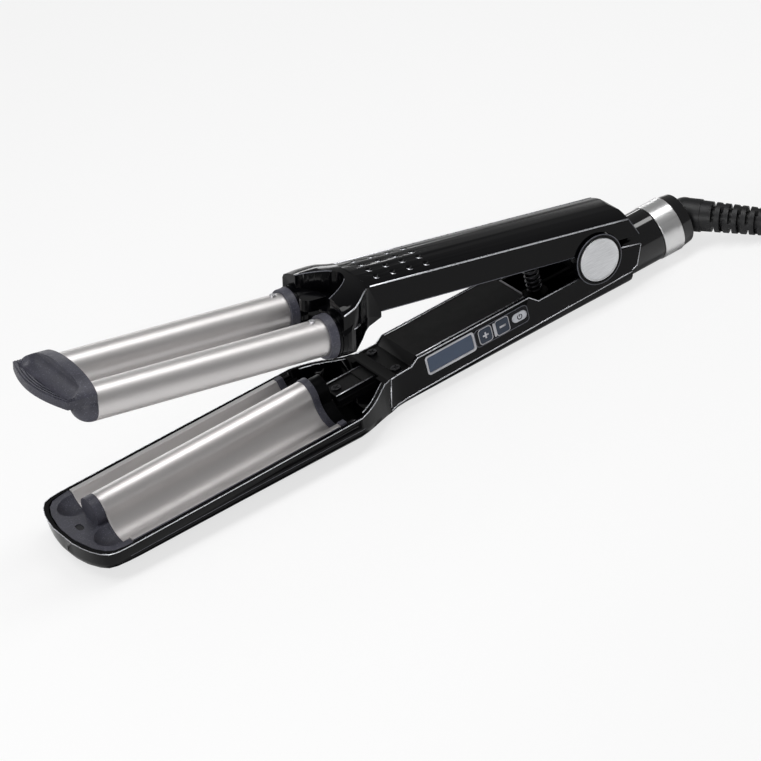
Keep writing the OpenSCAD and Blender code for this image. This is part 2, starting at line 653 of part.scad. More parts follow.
core_hw = 4.6;
module barrel_cores() color("#8d8f94") upper_frame() both_sides() difference() {
    intersection() {
        rod_x(barrel_r - barrel_wall, barrel_end + 1.5, band_end - 0.5, side);
        box([barrel_end, side - core_hw, -20], [plug_end, side + core_hw, 20]);
    }
    rod_x(core_bore, barrel_end, band_end + 0.5, side);
    rod_z(0.9, 6.5, 12, barrel_screw_x, side);
}
module barrel_heaters() color("#ece6da") upper_frame() both_sides()
    rod_x(core_bore, barrel_end + 4, socket_end - 1, side);

module barrel_collars() color("#54555f") upper_frame() both_sides() difference() {
    translate([band_end + 0.2, side, 0]) rotate([0, 90, 0]) cylinder(r1 = ring_r - 0.4, r2 = ring_r, h = collar_len);
    rod_x(barrel_r, band_end - 1, socket_end, side);
}
module barrel_seals() color("#101014") upper_frame() both_sides() difference() {
    rod_x(seal_r, band_end + collar_len + 0.3, seal_end, side);
    rod_x(barrel_r, band_end, socket_end, side);
    difference() {
        rod_x(seal_r + 1, band_end + collar_len + 1.6, neck_x - 0.9, side);
        rod_x(seal_r - 0.7, band_end, socket_end, side);
    }
}
module barrel_screws() color("#e2e3e6") upper_frame() both_sides() {
    rod_z(1.6, barrel_r, barrel_r + 0.9, barrel_screw_x, side);
    rod_z(0.9, 7, barrel_r, barrel_screw_x, side);
}

// ---- tip cap: ends of the barrels and the ribbed thumb rest ----
cap_front = barrel_end - flange_reach;
cap_hw = side + barrel_r - 0.2;
cap_mid = 6;
cap_rise = 9.7;
lip_low = 3.6;
lip_top = 7.6;
band_len = 6.5;
hollow_x = barrel_end - band_len - 6.2;
hollow_hw = 21.5;
// The lip's front edge, swept back towards its sides
function lip_x(y) = cap_front + 5.6 * pow(abs(y) / cap_hw, 1.9);
module lip_plan(shift, hw = cap_hw) polygon(concat([[barrel_end - 0.1, hw]],
    [for (i = [10:-1:-10]) [lip_x(hw * i / 10) + shift, hw * i / 10]], [[barrel_end - 0.1, -hw]]));
module tip_cap() color("#4b4c59") upper_frame() difference() {
    union() {
        both_sides() translate([barrel_end - 0.5, side, 0]) sphere(barrel_r);
        top_solid(lip_low, lip_top) lip_plan(0);
        for (i = [0:rib_count - 1]) top_solid(lip_top - 0.1, lip_top + 0.5) difference() {
            lip_plan(0.8 + 1.5 * i, cap_hw - 0.6);
            lip_plan(1.5 + 1.5 * i);
        }
        // raised band across both barrels
        intersection() {
            end_solid(barrel_end - 14, barrel_end - 0.1) translate([0, cap_mid])
                scale([cap_hw + 0.3, cap_rise]) circle(1);
            side_solid(-cap_hw, cap_hw) polygon([[barrel_end, lip_low], [barrel_end, 20],
                [barrel_end - band_len + 0.3, 20], [barrel_end - band_len + 0.3, cap_mid + cap_rise],
                [barrel_end - band_len - 5.2, lip_top], [barrel_end - band_len - 5.2, lip_low]]);
        }
    }
    // hollow for the thumb
    hull() for (s = [-1, 1]) translate([hollow_x, s * hollow_hw, cap_mid + cap_rise])
        scale([6.2, cap_hw - hollow_hw, 10]) sphere(1, $fn = 40);
    rod_x(crest_r + hair_gap, plate_front - 6, plate_front + 1);
    both_sides() {
        box([barrel_end, 0, -20], [barrel_end + 20, 40, 20]);
        rod_x(1.9, barrel_end - 12, barrel_end - 7.6, side);
        rod_x(1, barrel_end - 8, barrel_end - 2, side);
    }
}
module tip_screws() color("#55565c") upper_frame() both_sides() {
    rod_x(1.8, barrel_end - 9.6, barrel_end - 7.6, side);
    rod_x(1, barrel_end - 7.6, barrel_end - 2, side);
}

// ---- hinge block and spring cup ----
module hinge_block() color("#1f1f24") upper_frame() difference() {
    union() {
        side_solid(-boss_in + 0.5, boss_in - 0.5) polygon([[-28, liner_top], [-28, 13], [-10, 15.4], [4, 15.4],
            [9, 9], [9, 4], [0, 0], [-11, 0], [-14.2, liner_top]]);
        rod_y(11, -boss_in + 0.5, boss_in - 0.5);
    }
    rod_y(pin_r + pin_gap, -20, 20);
    both_sides() rod_z(1.1, 0, 11, block_screw[0], block_screw[1]);
}
module spring_cup() color("#26262b") upper_frame() difference() {
    rod_z(6.4, 1.4, seam_low[1], post_x);
    rod_z(5.2, 0, 3, post_x);
}
module upper_screws() color("#8c8e94") upper_frame() {
    for (x = upper_posts) mirror([0, 0, 1]) screw_z(x, 0, -seam_low[1], 7);
    both_sides() mirror([0, 0, 1]) screw_z(block_screw[0], block_screw[1], -seam_low[1], 6.5);
}
module upper_leads() color("#222226") upper_frame() both_sides()
    rod_x(lead_r, neck_x + 14, -28, lead_y + 1, 7.8);

// ---- cord: swivel, relief, lead, coil, tail and plug ----
swivel_x = 66;
elbow_r = 8.7;
elbow_len = elbow_r + 0.3;
relief_r = 8.2;
relief_tip = 6.9;
cord_dir = [0, 99.6, -49];
function turned(p) = let (
        q = [p[0] * cos(cord_dir[1]) + p[2] * sin(cord_dir[1]), p[1],
            -p[0] * sin(cord_dir[1]) + p[2] * cos(cord_dir[1])])
    [q[0] * cos(cord_dir[2]) - q[1] * sin(cord_dir[2]), q[0] * sin(cord_dir[2]) + q[1] * cos(cord_dir[2]), q[2]];
relief_end = to_floor([swivel_x, 0, collar_z] + turned([0, 0, elbow_len + relief_len]));
cord_r = cord_d / 2;
cord_floor = 3.4;
// Middle, mid radius, step between turns, step between layers, turns and first angle of the coil
coil_mid = [172, -26];
coil_r = 40;
coil_step = 7.7;
coil_rise = 7.5;
coil_turns = 43 / 6;
coil_start = 249;
coil_facets = 24;
lead_route = [[110.5, -49.5, 5.3], [121, -58.5, 4.2], [132.5, -66, 3.6], [144.5, -72.5, 3.45]];
tail_route = [[214.5, -62, 10.3], [226, -54.5, 8.8], [236, -44.5, 7.5], [241.5, -33.5, 7.1]];
tail_end = [243, -22.5, 7.5];
tail_turn = 86;
plug_half = 7.5;

module cord_frame() lower_frame() translate([swivel_x, 0, collar_z]) rotate(cord_dir) children();
module swivel_core() color("#2a2a2f") lower_frame() difference() {
    union() {
        rod_x(core_r, collar_end - 1, swivel_x - 4, 0, collar_z);
        rod_x(9.2, collar_end - 4.5, collar_end - 0.3, 0, collar_z);
    }
    rod_x(2.6, collar_end - 5, swivel_x, 0, collar_z);
}
module swivel_elbow() color("#1e1e22") intersection() {
    union() {
        lower_frame() rod_x(elbow_r, swivel_x - 4, swivel_x, 0, collar_z);
        lower_frame() translate([swivel_x, 0, collar_z]) sphere(elbow_r + 0.2);
        cord_frame() cylinder(r = elbow_r, h = elbow_len);
    }
    lower_frame() box([swivel_x - 4, -30, -40], [swivel_x + 30, 30, 20]);
}
module strain_relief() color("#1b1b1f") cord_frame() translate([0, 0, elbow_len]) difference() {
    cylinder(r1 = relief_r, r2 = relief_tip, h = relief_len);
    for (i = [0:7]) translate([0, 0, 6 + 4.6 * i]) rotate([0, 0, 90 * (i % 2)]) for (turn = [0, 180])
        rotate([0, 0, turn]) difference() {
            translate([1.4, -10, 0]) cube([10, 20, 2]);
            translate([0, 0, -1]) cylinder(r = 4.4, h = 4);
        }
}

// A smooth path through hand-set points
function smooth_path(p, n) = [for (i = [0:len(p) - 2], k = [0:n - 1]) let (
        a = p[max(i - 1, 0)], b = p[i], c = p[i + 1], d = p[min(i + 2, len(p) - 1)], t = k / n)
    0.5 * (2 * b + (c - a) * t + (2 * a - 5 * b + 4 * c - d) * t * t + (3 * b - a - 3 * c + d) * t * t * t)];
function coil_point(t) = let (
        s = t < coil_turns / 2 ? t : coil_turns - t,
        r = coil_r + coil_step * (coil_turns / 4 - s),
        u = min(1, max(0, (t - coil_turns / 2) * 2 + 0.5)),
        a = coil_start + 360 * t)
    [coil_mid[0] + r * cos(a), coil_mid[1] + r * sin(a), cord_floor + coil_rise * u];
coil_path = [for (i = [0:coil_facets * coil_turns]) coil_point(i / coil_facets)];
coil_in = coil_point(0);
coil_out = coil_point(coil_turns);
coil_dir = [cos(coil_start + 90), sin(coil_start + 90), 0];
coil_end = coil_start + 360 * coil_turns;
out_dir = [cos(coil_end + 90), sin(coil_end + 90), 0];
exit_dir = unit(to_floor([swivel_x, 0, collar_z] + turned([0, 0, 1])) - to_floor([swivel_x, 0, collar_z]));
plug_dir = [cos(tail_turn), sin(tail_turn), 0];
// Least distance between turns that are not neighbours along the path, less the cord itself
coil_gap = min([for (i = [0:len(coil_path) - 1]) for (j = [i + 12:len(coil_path) - 1])
    norm(coil_path[i] - coil_path[j])]) - cord_d;
echo(coil_gap = coil_gap);

module cord_lead() color("#151518") loft(tube_rings(concat([relief_end], smooth_path(concat(
    [relief_end + 2 * exit_dir], lead_route, [coil_in - 2 * coil_dir]), 2), [coil_in - 2 * coil_dir, coil_in]),
    cord_r, 10));
module cord_coil() color("#151518") difference() {
    loft(tube_rings(concat([coil_in, coil_in + 3 * coil_dir], [for (i = [1:len(coil_path) - 2]) coil_path[i]],
        [coil_out - 3 * out_dir, coil_out]), cord_r, 6));
    box([coil_mid[0] - 80, coil_mid[1] - 80, -10], [coil_mid[0] + 80, coil_mid[1] + 80, 0]);
}
module cord_tail() color("#151518") loft(tube_rings(concat([coil_out], smooth_path(concat(
    [coil_out + 2 * out_dir], tail_route, [tail_end - 2 * plug_dir]), 2), [tail_end - 2 * plug_dir, tail_end]),
    cord_r, 10));
module plug_frame() translate([tail_end[0], tail_end[1], plug_half]) rotate([0, 0, tail_turn]) children();
module plug() color("#17171b") plug_frame() {
    rod_x(5, 0, 12);
    difference() {
        box([10, -13, -plug_half], [40, 13, plug_half]);
        for (y = [-17.5, 17.5]) rod_z(8, -10, 10, 24, y);
    }
}
module plug_pins() color("#c8b27a") plug_frame() for (y = [-6.35, 6.35])
    box([40, y - 0.75, -3.2], [57.5, y + 0.75, 3.2]);

lower_shell();
lower_deck();
deck_trim();
nose_insert();
wave_plate();
plate_band();
plate_plug();
neck_beam();
neck_panel();
plate_heater();
heater_brackets();
insulation();
heat_sensor();
thermal_fuse();
circuit_board();
keypad();
display_module();
display_window();
display_frame();
control_panel();
minus_bar();
plus_button();
minus_button();
power_button();
lower_leads();
hinge_pin();
hinge_discs();
spring_post();
return_spring();
cord_collar();
steel_ring();
black_ring();
lower_screws();
upper_shell();
upper_liner();
yoke();
near_barrel();
far_barrel();
barrel_cores();
barrel_heaters();
barrel_collars();
barrel_seals();
tip_cap();
barrel_screws();
tip_screws();
hinge_block();
spring_cup();
upper_screws();
upper_leads();
swivel_core();
swivel_elbow();
strain_relief();
cord_lead();
cord_coil();
cord_tail();
plug();
plug_pins();
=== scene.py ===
import json
import math
import bmesh
import bpy
import numpy as np
from mathutils import Matrix, Vector

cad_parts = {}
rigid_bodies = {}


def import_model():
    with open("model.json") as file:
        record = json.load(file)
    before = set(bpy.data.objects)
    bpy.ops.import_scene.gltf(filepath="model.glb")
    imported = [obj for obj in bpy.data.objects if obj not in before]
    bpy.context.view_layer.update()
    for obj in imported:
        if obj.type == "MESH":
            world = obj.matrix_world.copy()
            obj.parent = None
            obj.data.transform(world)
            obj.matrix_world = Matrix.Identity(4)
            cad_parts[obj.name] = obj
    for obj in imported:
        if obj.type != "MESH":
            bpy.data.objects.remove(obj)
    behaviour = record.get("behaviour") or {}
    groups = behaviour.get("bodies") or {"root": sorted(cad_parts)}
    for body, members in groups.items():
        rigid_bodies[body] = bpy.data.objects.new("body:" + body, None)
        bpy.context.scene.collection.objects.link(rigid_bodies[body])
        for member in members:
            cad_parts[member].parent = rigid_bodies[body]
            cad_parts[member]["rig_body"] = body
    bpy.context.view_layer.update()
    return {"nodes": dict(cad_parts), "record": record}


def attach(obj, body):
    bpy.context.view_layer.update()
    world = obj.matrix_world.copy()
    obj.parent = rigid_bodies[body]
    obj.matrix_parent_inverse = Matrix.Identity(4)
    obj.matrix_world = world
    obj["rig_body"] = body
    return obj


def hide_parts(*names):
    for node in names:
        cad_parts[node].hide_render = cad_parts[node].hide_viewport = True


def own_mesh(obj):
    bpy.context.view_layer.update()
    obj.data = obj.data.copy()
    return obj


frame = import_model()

nodes = frame["nodes"]
mm = 0.001

# The arms turn about this axis; angles in degrees, heights in millimetres
arms = {"hingeHeight": 27.6, "lowerTilt": 1.2, "openAngle": 13.4}


# Rows of [x, y, z] in an arm's own frame, in millimetres, turned about the hinge and lifted, in metres
def armPlace(points, turn):
    points = np.asarray(points, float)
    c, s = math.cos(math.radians(turn)), math.sin(math.radians(turn))
    x, y, z = points[..., 0], points[..., 1], points[..., 2]
    return np.stack([x * c + z * s, y, z * c - x * s + arms["hingeHeight"]], -1) * mm


def lowerPlace(points):
    return armPlace(points, -arms["lowerTilt"])


def upperPlace(points):
    return armPlace(points, arms["openAngle"] - arms["lowerTilt"])


# The camera's axes in the lower arm's frame, its distance from the hinge in millimetres, its focal length and
# the hinge's place in pixels, its sensor in millimetres and its near and far clip in metres
view = {"across": (0.82103512, -0.52568708, -0.22260823), "up": (0.44701406, 0.34946639, 0.82343893),
        "back": (-0.35507711, -0.77558129, 0.5219137), "distance": 2119.61, "focal": 4096.32,
        "hingeAt": (578.73, 247.58), "pixels": 761, "sensor": 36, "clip": (0.1, 30)}


def addCamera():
    across, up, back = (np.array(view[k]) for k in ("across", "up", "back"))
    scale, middle = view["distance"] / view["focal"], view["pixels"] / 2
    offX, offY = (view["hingeAt"][0] - middle) * scale, (middle - view["hingeAt"][1]) * scale
    place = lowerPlace(-offX * across - offY * up + view["distance"] * back)
    data = bpy.data.cameras.new("camera")
    data.sensor_width, data.lens = view["sensor"], view["sensor"] * view["focal"] / view["pixels"]
    data.clip_start, data.clip_end = view["clip"]
    camera = bpy.data.objects.new("camera", data)
    bpy.context.collection.objects.link(camera)
    origin = lowerPlace([0, 0, 0])
    turned = [(lowerPlace(v) - origin) / mm for v in (across, up, back)]
    camera.matrix_world = Matrix([[turned[0][i], turned[1][i], turned[2][i], place[i]] for i in range(3)]
                                 + [[0, 0, 0, 1]])
    bpy.context.scene.camera = camera


addCamera()
print("camera placed")


# Quads between neighbouring rows of a grid; the columns run round, and so do the rows of a loop
def gridFaces(rows, columns, loop=False):
    i, j = np.meshgrid(np.arange(rows if loop else rows - 1), np.arange(columns), indexing="ij")
    k, n = (j + 1) % columns, (i + 1) % rows
    return np.stack([i * columns + j, i * columns + k, n * columns + k, n * columns + j], -1).reshape(-1, 4)


# Ellipses carried along the path: radius across the path, radius * flat towards the axis
def sweepTube(path, radius, sides, flat=1.0, axis=(0, 0, 1), loop=False):
    path = np.asarray(path, float)
    span = np.roll(path, -1, 0) - path
    span /= np.linalg.norm(span, axis=1, keepdims=True)
    before = np.roll(span, 1, 0)
    along = span + before
    if not loop:
        along[0], along[-1] = span[0], before[-1]
    along /= np.linalg.norm(along, axis=1, keepdims=True)
    across = np.cross(axis, along)
    across /= np.linalg.norm(across, axis=1, keepdims=True)
    lift = np.cross(along, across) * flat
    turn = np.radians(np.arange(sides) * 360 / sides + 90)[None, :, None]
    radius = np.broadcast_to(radius, len(path))[:, None, None]
    return path[:, None] + radius * (np.cos(turn) * across[:, None] + np.sin(turn) * lift[:, None])


# Tubes along several paths as one mesh, with flat ends where a path isn't a loop
def tubeMesh(paths, radius, sides=8, loop=False, **shape):
    points, faces, start = [], [], 0
    for path in paths:
        rings = sweepTube(path, radius, sides, loop=loop, **shape)
        faces += (gridFaces(len(path), sides, loop) + start).tolist()
        last = start + (len(path) - 1) * sides
        if not loop:
            faces += [list(range(start + sides - 1, start - 1, -1)), list(range(last, last + sides))]
        points.append(rings.reshape(-1, 3))
        start = last + sides
    return np.vstack(points), faces


# A profile of [radius, height] turned about Z, its first and last points on the axis
def latheMesh(profile, sides):
    profile = np.asarray(profile, float)
    turn = np.radians(np.arange(sides) * 360 / sides)
    radius, height = profile[1:-1, 0][:, None], profile[1:-1, 1][:, None]
    rings = np.stack([radius * np.cos(turn), radius * np.sin(turn), height + 0 * turn], -1)
    points = np.vstack([rings.reshape(-1, 3), [[0, 0, profile[0, 1]], [0, 0, profile[-1, 1]]]])
    rows = len(profile) - 2
    low, high = rows * sides, rows * sides + 1
    faces = gridFaces(rows, sides).tolist()
    faces += [[low, (j + 1) % sides, j] for j in range(sides)]
    faces += [[high, high - 1 - sides + j, high - 1 - sides + (j + 1) % sides] for j in range(sides)]
    return points, faces


# A smooth mesh as a new piece that moves with a body
def addPiece(name, points, faces, body, finish=None):
    mesh = bpy.data.meshes.new(name)
    mesh.from_pydata(points.tolist(), [], faces)
    if finish:
        mesh.materials.append(finish)
    piece = bpy.data.objects.new(name, mesh)
    bpy.context.collection.objects.link(piece)
    mesh.shade_smooth()
    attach(piece, body)
    return piece


# Millimetres and degrees; lead and tail are the points between the relief, the coil and the plug
cord = {"diameter": 6.8, "floor": 3.4, "coilMid": (172, -26), "coilRadius": 40, "coilStep": 7.7, "coilRise": 7.5,
        "coilTurns": 43 / 6, "coilStart": 249, "coilPoints": 521, "tailTurn": 86, "tailEnd": (243, -22.5, 7.5),
        "lead": [(110.5, -49.5, 5.3), (121, -58.5, 4.2), (132.5, -66, 3.6), (144.5, -72.5, 3.45)],
        "tail": [(214.5, -62, 10.3), (226, -54.5, 8.8), (236, -44.5, 7.5), (241.5, -33.5, 7.1)],
        "swivelAt": 66, "elbowLength": 9, "reliefLength": 45, "lean": 99.6, "swing": -49, "collarRadius": 14.6,
        "collarLift": 0.2, "shellBack": 18.3, "straight": 2, "spanSteps": 5, "rings": 620, "smoothing": 2,
        "sides": 14}


# A smooth path through given points: each span is a cubic that uses its neighbours' slopes
def curveThrough(points, steps):
    p = np.asarray(points, float)
    p = np.vstack([p[:1], p, p[-1:]])
    t = np.arange(steps)[None, :, None] / steps
    a, b, c, d = (p[k:len(p) - 3 + k][:, None] for k in range(4))
    return 0.5 * (2 * b + (c - a) * t + (2 * a - 5 * b + 4 * c - d) * t ** 2
                  + (3 * b - a - 3 * c + d) * t ** 3).reshape(-1, 3)


# The relief's end in metres and its direction; the collar stands on the floor below the lower shell's back end
def reliefEnd():
    tilt = math.radians(arms["lowerTilt"])
    floorZ = -(arms["hingeHeight"] + cord["shellBack"] * math.sin(tilt)) / math.cos(tilt)
    lean, swing = math.radians(cord["lean"]), math.radians(cord["swing"])
    heading = np.array([math.sin(lean) * math.cos(swing), math.sin(lean) * math.sin(swing), math.cos(lean)])
    middle = np.array([cord["swivelAt"], 0, floorZ + cord["collarRadius"] + cord["collarLift"]])
    reach = cord["elbowLength"] + cord["reliefLength"]
    return lowerPlace(middle + heading * reach), (lowerPlace(middle + heading) - lowerPlace(middle)) / mm


# Turns that spiral in on the floor, climb one layer in the half turn where they reverse, and spiral out
def coilPath():
    t = np.linspace(0, cord["coilTurns"], cord["coilPoints"])
    inward = np.minimum(t, cord["coilTurns"] - t)
    radius = cord["coilRadius"] + cord["coilStep"] * (cord["coilTurns"] / 4 - inward)
    climb = np.clip((t - cord["coilTurns"] / 2) * 2 + 0.5, 0, 1)
    turn = np.radians(cord["coilStart"] + 360 * t)
    return np.stack([cord["coilMid"][0] + radius * np.cos(turn), cord["coilMid"][1] + radius * np.sin(turn),
                     cord["floor"] + cord["coilRise"] * climb], -1)


# Level step of a given length at an angle in degrees
def levelStep(turn, length):
    return length * np.array([math.cos(math.radians(turn)), math.sin(math.radians(turn)), 0])


def addCord():
    exitPoint, heading = reliefEnd()
    start, coil, tailEnd = exitPoint / mm, coilPath(), np.array(cord["tailEnd"], float)
    straight, steps = cord["straight"], cord["spanSteps"]
    coilIn = coil[0] - levelStep(cord["coilStart"] + 90, straight)
    coilOut = coil[-1] + levelStep(cord["coilStart"] + 360 * cord["coilTurns"] + 90, straight)
    plugIn = tailEnd - levelStep(cord["tailTurn"], straight)
    lead = curveThrough([start + straight * heading, *cord["lead"], coilIn], steps)
    tail = curveThrough([coilOut, *cord["tail"], plugIn], steps)
    path = np.vstack([[start], lead, [coilIn], coil, tail, [plugIn, tailEnd]])
    # even spacing, so the rings follow each other smoothly
    reach = np.concatenate([[0], np.cumsum(np.linalg.norm(np.diff(path, axis=0), axis=1))])
    even = np.linspace(0, reach[-1], cord["rings"])
    path = np.stack([np.interp(even, reach, path[:, k]) for k in range(3)], -1)
    for _ in range(cord["smoothing"]):
        path[1:-1] = (path[:-2] + 2 * path[1:-1] + path[2:]) / 4
    points, faces = tubeMesh([path * mm], cord["diameter"] / 2 * mm, cord["sides"])
    piece = addPiece("mainsCord", points, faces, "cord_swivel")
    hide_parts("cord_lead", "cord_coil", "cord_tail")
    return piece


cordPiece = addCord()


# A value in a shader; a sum or a product of it adds a Math node
class Flow:
    def __init__(self, paint, socket):
        self.paint, self.socket = paint, socket

    def __add__(self, other):
        return self.paint.node("ShaderNodeMath", (self, other), operation="ADD")

    def __mul__(self, other):
        return self.paint.node("ShaderNodeMath", (self, other), operation="MULTIPLY")

    __radd__, __rmul__ = __add__, __mul__


# A material: its Principled shader, and one method that adds any other node
class Paint:
    def __init__(self, name, color, **sockets):
        self.material = bpy.data.materials.new(name)
        self.material.use_nodes = True
        self.tree = self.material.node_tree
        self.shader = self.tree.nodes["Principled BSDF"]
        self.feed(**{"Base Color": color}, **sockets)

    def node(self, kind, values=(), out=0, **settings):
        node = self.tree.nodes.new(kind)
        for name, value in settings.items():
            setattr(node, name, value)
        pairs = values.items() if isinstance(values, dict) else enumerate(values)
        for key, value in pairs:
            self.join(value, node.inputs[key])
        return Flow(self, node.outputs[out])

    # A link, a colour or a plain value
    def join(self, value, socket):
        if isinstance(value, Flow):
            self.tree.links.new(value.socket, socket)
        else:
            socket.default_value = (*value, 1) if socket.type == "RGBA" else value

    def feed(self, **sockets):
        for name, value in sockets.items():
            self.join(value, self.shader.inputs[name])

    def noise(self, scale, detail, stretch=(1, 1, 1), turn=(0, 0, 0)):
        place = self.node("ShaderNodeTexCoord", out="Object")
        place = self.node("ShaderNodeMapping", {"Vector": place, "Scale": stretch, "Rotation": turn})
        return self.node("ShaderNodeTexNoise", {"Vector": place, "Scale": scale, "Detail": detail})

    # A colour mixed from first to second; the node's colour sockets are 6, 7 and the third out
    def between(self, amount, first, second):
        return self.node("ShaderNodeMix", {"Factor": amount, 6: first, 7: second}, out=2, data_type="RGBA")

    # A value carried smoothly from low..high to first..second
    def step(self, value, low, high, first=0.0, second=1.0):
        return self.node("ShaderNodeMapRange", {"Value": value, "From Min": low, "From Max": high, "To Min": first,
                                                "To Max": second}, interpolation_type="SMOOTHSTEP")

    def bump(self, height, strength, distance):
        return self.node("ShaderNodeBump", {"Height": height, "Strength": strength, "Distance": distance})


# A colour made lighter or darker
def shade(color, amount):
    return tuple(c * amount for c in color)


# Moulded gloss black: fine swirl marks in the roughness and a faint waviness
def glossPlastic(name, color=(0.0015, 0.0015, 0.002), shine=0.15, rough=(0.06, 0.14)):
    paint = Paint(name, color, **{"Specular IOR Level": shine})
    cloud = paint.noise(38, 4)
    hair = paint.noise(900, 2, stretch=(0.12, 1, 1))
    paint.feed(**{"Roughness": paint.step(cloud, 0.3, 0.75, *rough) + paint.step(hair, 0.55, 0.8, 0, 0.05),
                  "Normal": paint.bump(paint.noise(26, 2), 0.04, 0.0004)})
    return paint.material


# Fine spark-eroded plastic: a grainy bump, and patches that are rubbed a little smoother
def satinPlastic(name, color, grain=2400.0, strength=0.12, rough=(0.38, 0.5), shine=0.4, speck=0.0):
    paint = Paint(name, color, **{"Specular IOR Level": shine})
    wear = paint.noise(120, 5)
    tone = paint.between(paint.step(wear, 0.35, 0.7), shade(color, 0.86), shade(color, 1.12))
    if speck:
        dots = paint.step(paint.noise(1500, 1), 0.6, 0.7, 0, speck)
        tone = paint.between(dots, tone, tuple(min(1, c * 3 + 0.05) for c in color))
    paint.feed(**{"Base Color": tone, "Roughness": paint.step(wear, 0.3, 0.7, *rough),
                  "Normal": paint.bump(paint.noise(grain, 2), strength, 0.00004)})
    return paint.material


# Metal with fine lines drawn along one way, and a faint stain
def brushedMetal(name, color, stretch=(1, 1, 1), turn=(0, 0, 0), rough=(0.24, 0.3), strength=0.1, scale=700.0,
                 contrast=0.06):
    paint = Paint(name, color, Metallic=1.0)
    lines = paint.noise(scale, 3, stretch=stretch, turn=turn)
    stain = paint.noise(30, 4)
    mark = paint.step(stain, 0.3, 0.75) * 0.5 + paint.step(lines, 0.35, 0.65) * 0.5
    tone = paint.between(mark, shade(color, 1 - contrast), color)
    paint.feed(**{"Base Color": tone, "Roughness": paint.step(lines, 0.3, 0.7, *rough),
                  "Normal": paint.bump(lines, strength, 0.00001)})
    return paint.material


armTurn = (0, math.radians(arms["lowerTilt"]), 0)
finishes = {
    "gloss_shell": glossPlastic("gloss black"),
    "satin_deck": satinPlastic("satin charcoal", (0.0025, 0.0025, 0.003), shine=0.08),
    "titanium": brushedMetal("titanium", (0.68, 0.66, 0.655), rough=(0.42, 0.48), scale=2600, strength=0.05),
    "end_grey": satinPlastic("heat grey", (0.045, 0.045, 0.06), 1500.0, 0.15, (0.42, 0.55), speck=0.35),
    "aluminium_part": brushedMetal("cast aluminium", (0.5, 0.5, 0.52), rough=(0.35, 0.5)),
    "disc_metal": brushedMetal("turned aluminium", (0.84, 0.85, 0.87), (0.06, 1, 1), armTurn, (0.4, 0.5), 0.2, 2600,
                               contrast=0.3),
    "ring_steel": brushedMetal("ring steel", (0.75, 0.75, 0.75), (0.08, 1, 1), armTurn, (0.28, 0.36), 0.1, 600),
    "screw_steel": brushedMetal("blackened screws", (0.035, 0.035, 0.04), rough=(0.35, 0.45)),
    "ceramic": satinPlastic("ceramic", (0.7, 0.67, 0.6), 900.0, 0.2, (0.6, 0.75)),
    "sensor_brass": brushedMetal("brass", (0.75, 0.56, 0.3), (1, 0.2, 1)),
    "board": satinPlastic("board green", (0.02, 0.12, 0.05), 400.0, 0.1, (0.3, 0.45)),
    "key_rubber": satinPlastic("key rubber", (0.03, 0.03, 0.033)),
    "wire_black": satinPlastic("wire sleeve", (0.01, 0.01, 0.011)),
    "lcd": glossPlastic("display glass", (0.058, 0.08, 0.125), 0.3),
    "lcd_back": satinPlastic("display body", (0.05, 0.07, 0.1)),
    "light_trim": satinPlastic("light trim", (0.5, 0.5, 0.53), rough=(0.2, 0.3)),
    "panel_black": glossPlastic("panel black", (0.006, 0.006, 0.008)),
    "key_blue": glossPlastic("key blue", (0.025, 0.035, 0.055), 0.3),
    "key_silver": satinPlastic("key silver", (0.5, 0.51, 0.55), 1800.0, 0.1, (0.25, 0.35)),
    "soft_black": satinPlastic("soft black", (0.008, 0.008, 0.009), 1300.0, 0.15, (0.4, 0.5), 0.3),
    "cord_black": satinPlastic("cord black", (0.012, 0.012, 0.014), 1200.0, 0.12, (0.42, 0.52)),
    "plug_black": satinPlastic("plug black", (0.014, 0.014, 0.016), 1300.0, 0.2),
}
# Painted highlight: a light grey metal for tubes laid along the black shells' edges, standing in for lamp glints on
# the rounded edges
paintedHighlight = brushedMetal("painted edge highlight", (0.75, 0.76, 0.8), rough=(0.25, 0.35))
# Painted dim highlight: a grey for thinner tubes on the shells' lesser edges, standing in for fainter lamp glints
# there
paintedDimHighlight = satinPlastic("painted dim edge highlight", (0.09, 0.093, 0.11), rough=(0.3, 0.4))
blackWire = brushedMetal("blackened wire", (0.05, 0.05, 0.055), rough=(0.3, 0.4))
lightScrew = brushedMetal("bright screw", (0.75, 0.75, 0.78), rough=(0.25, 0.35))
collarGloss = glossPlastic("collar gloss", shine=0.6)
ownFinish = {"barrel_screws": lightScrew, "cord_collar": collarGloss, "black_ring": collarGloss}

slotOf = {part["node"]: part["material_slot"] for part in frame["record"]["subparts"]}
for name, slotName in slotOf.items():
    nodes[name].data.materials.clear()
    nodes[name].data.materials.append(ownFinish.get(name, finishes[slotName]))
cordPiece.data.materials.append(finishes["cord_black"])
print("finishes on the frame's pieces")


# Edges over sharp degrees are rounded; points closer than merge metres join, and faces within flat degrees
edging = {"sharp": 30, "segments": 2, "merge": 2e-6, "flat": 0.6}
# Rounding of each hard piece's edges, in millimetres
rounding = {"lower_shell": 0.35, "upper_shell": 0.35, "yoke": 0.35, "tip_cap": 0.15, "nose_insert": 0.3,
            "display_frame": 0.25, "display_window": 0.2, "control_panel": 0.15, "plus_button": 0.15,
            "minus_button": 0.15, "power_button": 0.3, "minus_bar": 0.1, "lower_deck": 0.3, "plate_plug": 0.3,
            "barrel_collars": 0.25, "barrel_seals": 0.25, "cord_collar": 0.6, "steel_ring": 0.4, "black_ring": 0.4,
            "swivel_elbow": 0.5, "strain_relief": 0.3, "wave_plate": 0.2,
            "plate_band": 0.25, "near_barrel": 0.15, "far_barrel": 0.15, "neck_beam": 0.25, "hinge_block": 0.4}
# The plug's own meshes stay, since the cord carries them
plugRounding = {"plug": 0.9, "plug_pins": 0.4}


def addBevel(piece, width):
    edges = piece.modifiers.new("edges", "BEVEL")
    edges.width, edges.segments, edges.limit_method = width * mm, edging["segments"], "ANGLE"
    edges.angle_limit = math.radians(edging["sharp"])
    return edges


